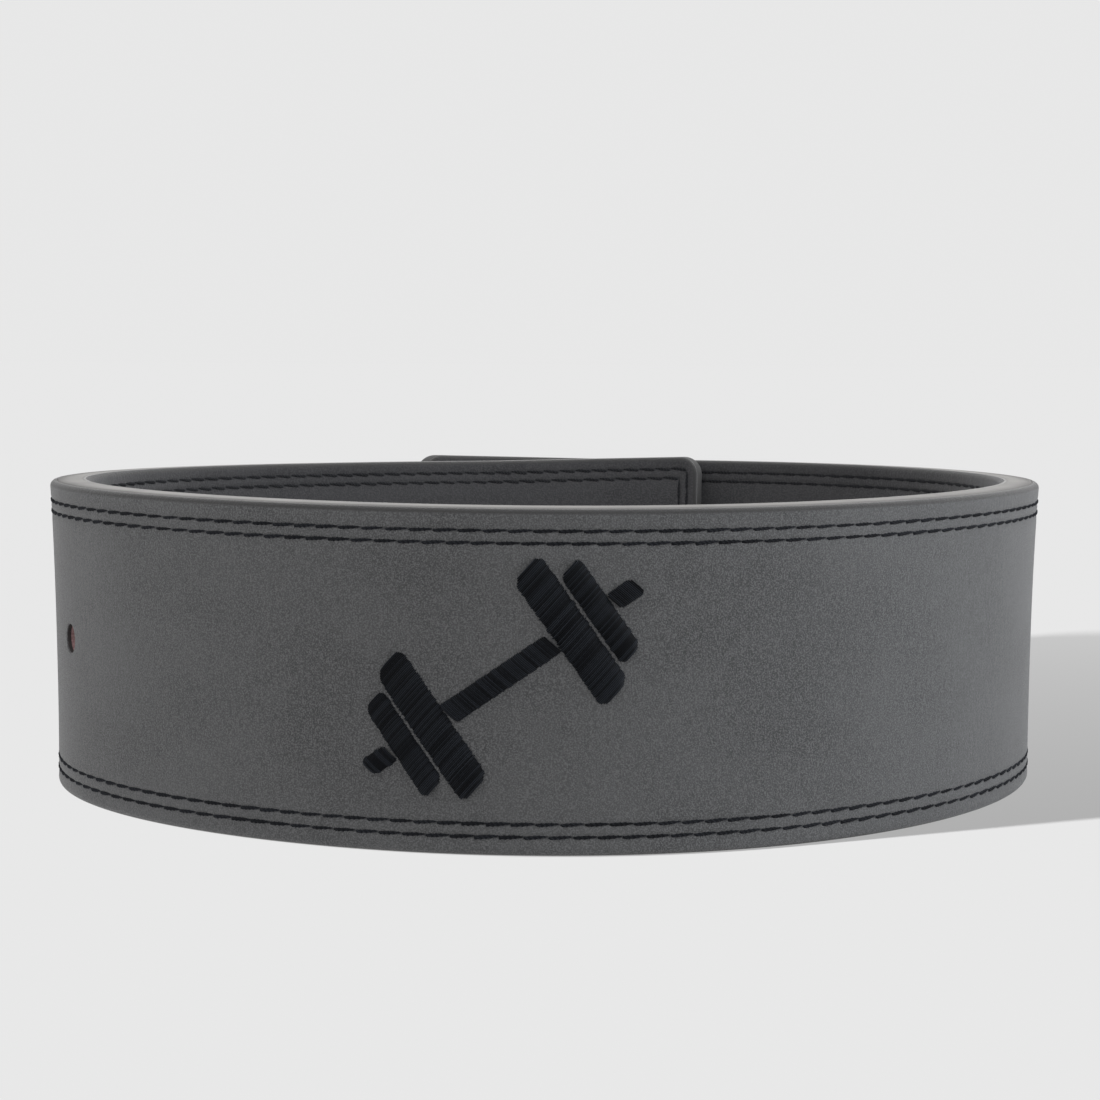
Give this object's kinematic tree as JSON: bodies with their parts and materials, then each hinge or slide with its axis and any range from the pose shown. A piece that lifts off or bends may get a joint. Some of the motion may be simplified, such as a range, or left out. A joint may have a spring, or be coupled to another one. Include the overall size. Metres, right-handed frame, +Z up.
{
  "type": "weightlifting belt",
  "caption": "Wide laminated leather lever belt, closed as a ring: nubuck face, suede lining, punched holes, lapped rounded tips, satin-stitched barbell and a steel lever.",
  "frame": {"origin": "centre of the belt's bounding box in plan, at the level of the surface that it stands on", "axes": "+Z up, square to the standing edge; -Y is the front with the emblem, +Y is the lapped and buckled rear"},
  "size_m": [0.3298, 0.3232, 0.1018],
  "materials": {
    "nubuck_face": "matt charcoal nubuck with a fine nap",
    "painted_core": "burnished edge with warm grey edge paint, reddish leather inside the holes",
    "suede_lining": "dark grey suede",
    "black_thread": "black twisted thread with a soft sheen",
    "black_steel": "satin black coated steel"
  },
  "bodies": {
    "root": {"outer_leather": "nubuck_face", "leather_core": "painted_core", "suede_lining": "suede_lining", "lever_buckle": "black_steel", "emblem_grip": "black_thread", "emblem_left_inner_plate": "black_thread", "emblem_left_outer_plate": "black_thread", "emblem_left_sleeve": "black_thread", "emblem_right_inner_plate": "black_thread", "emblem_right_outer_plate": "black_thread", "emblem_right_sleeve": "black_thread"}
  },
  "joints": []
}
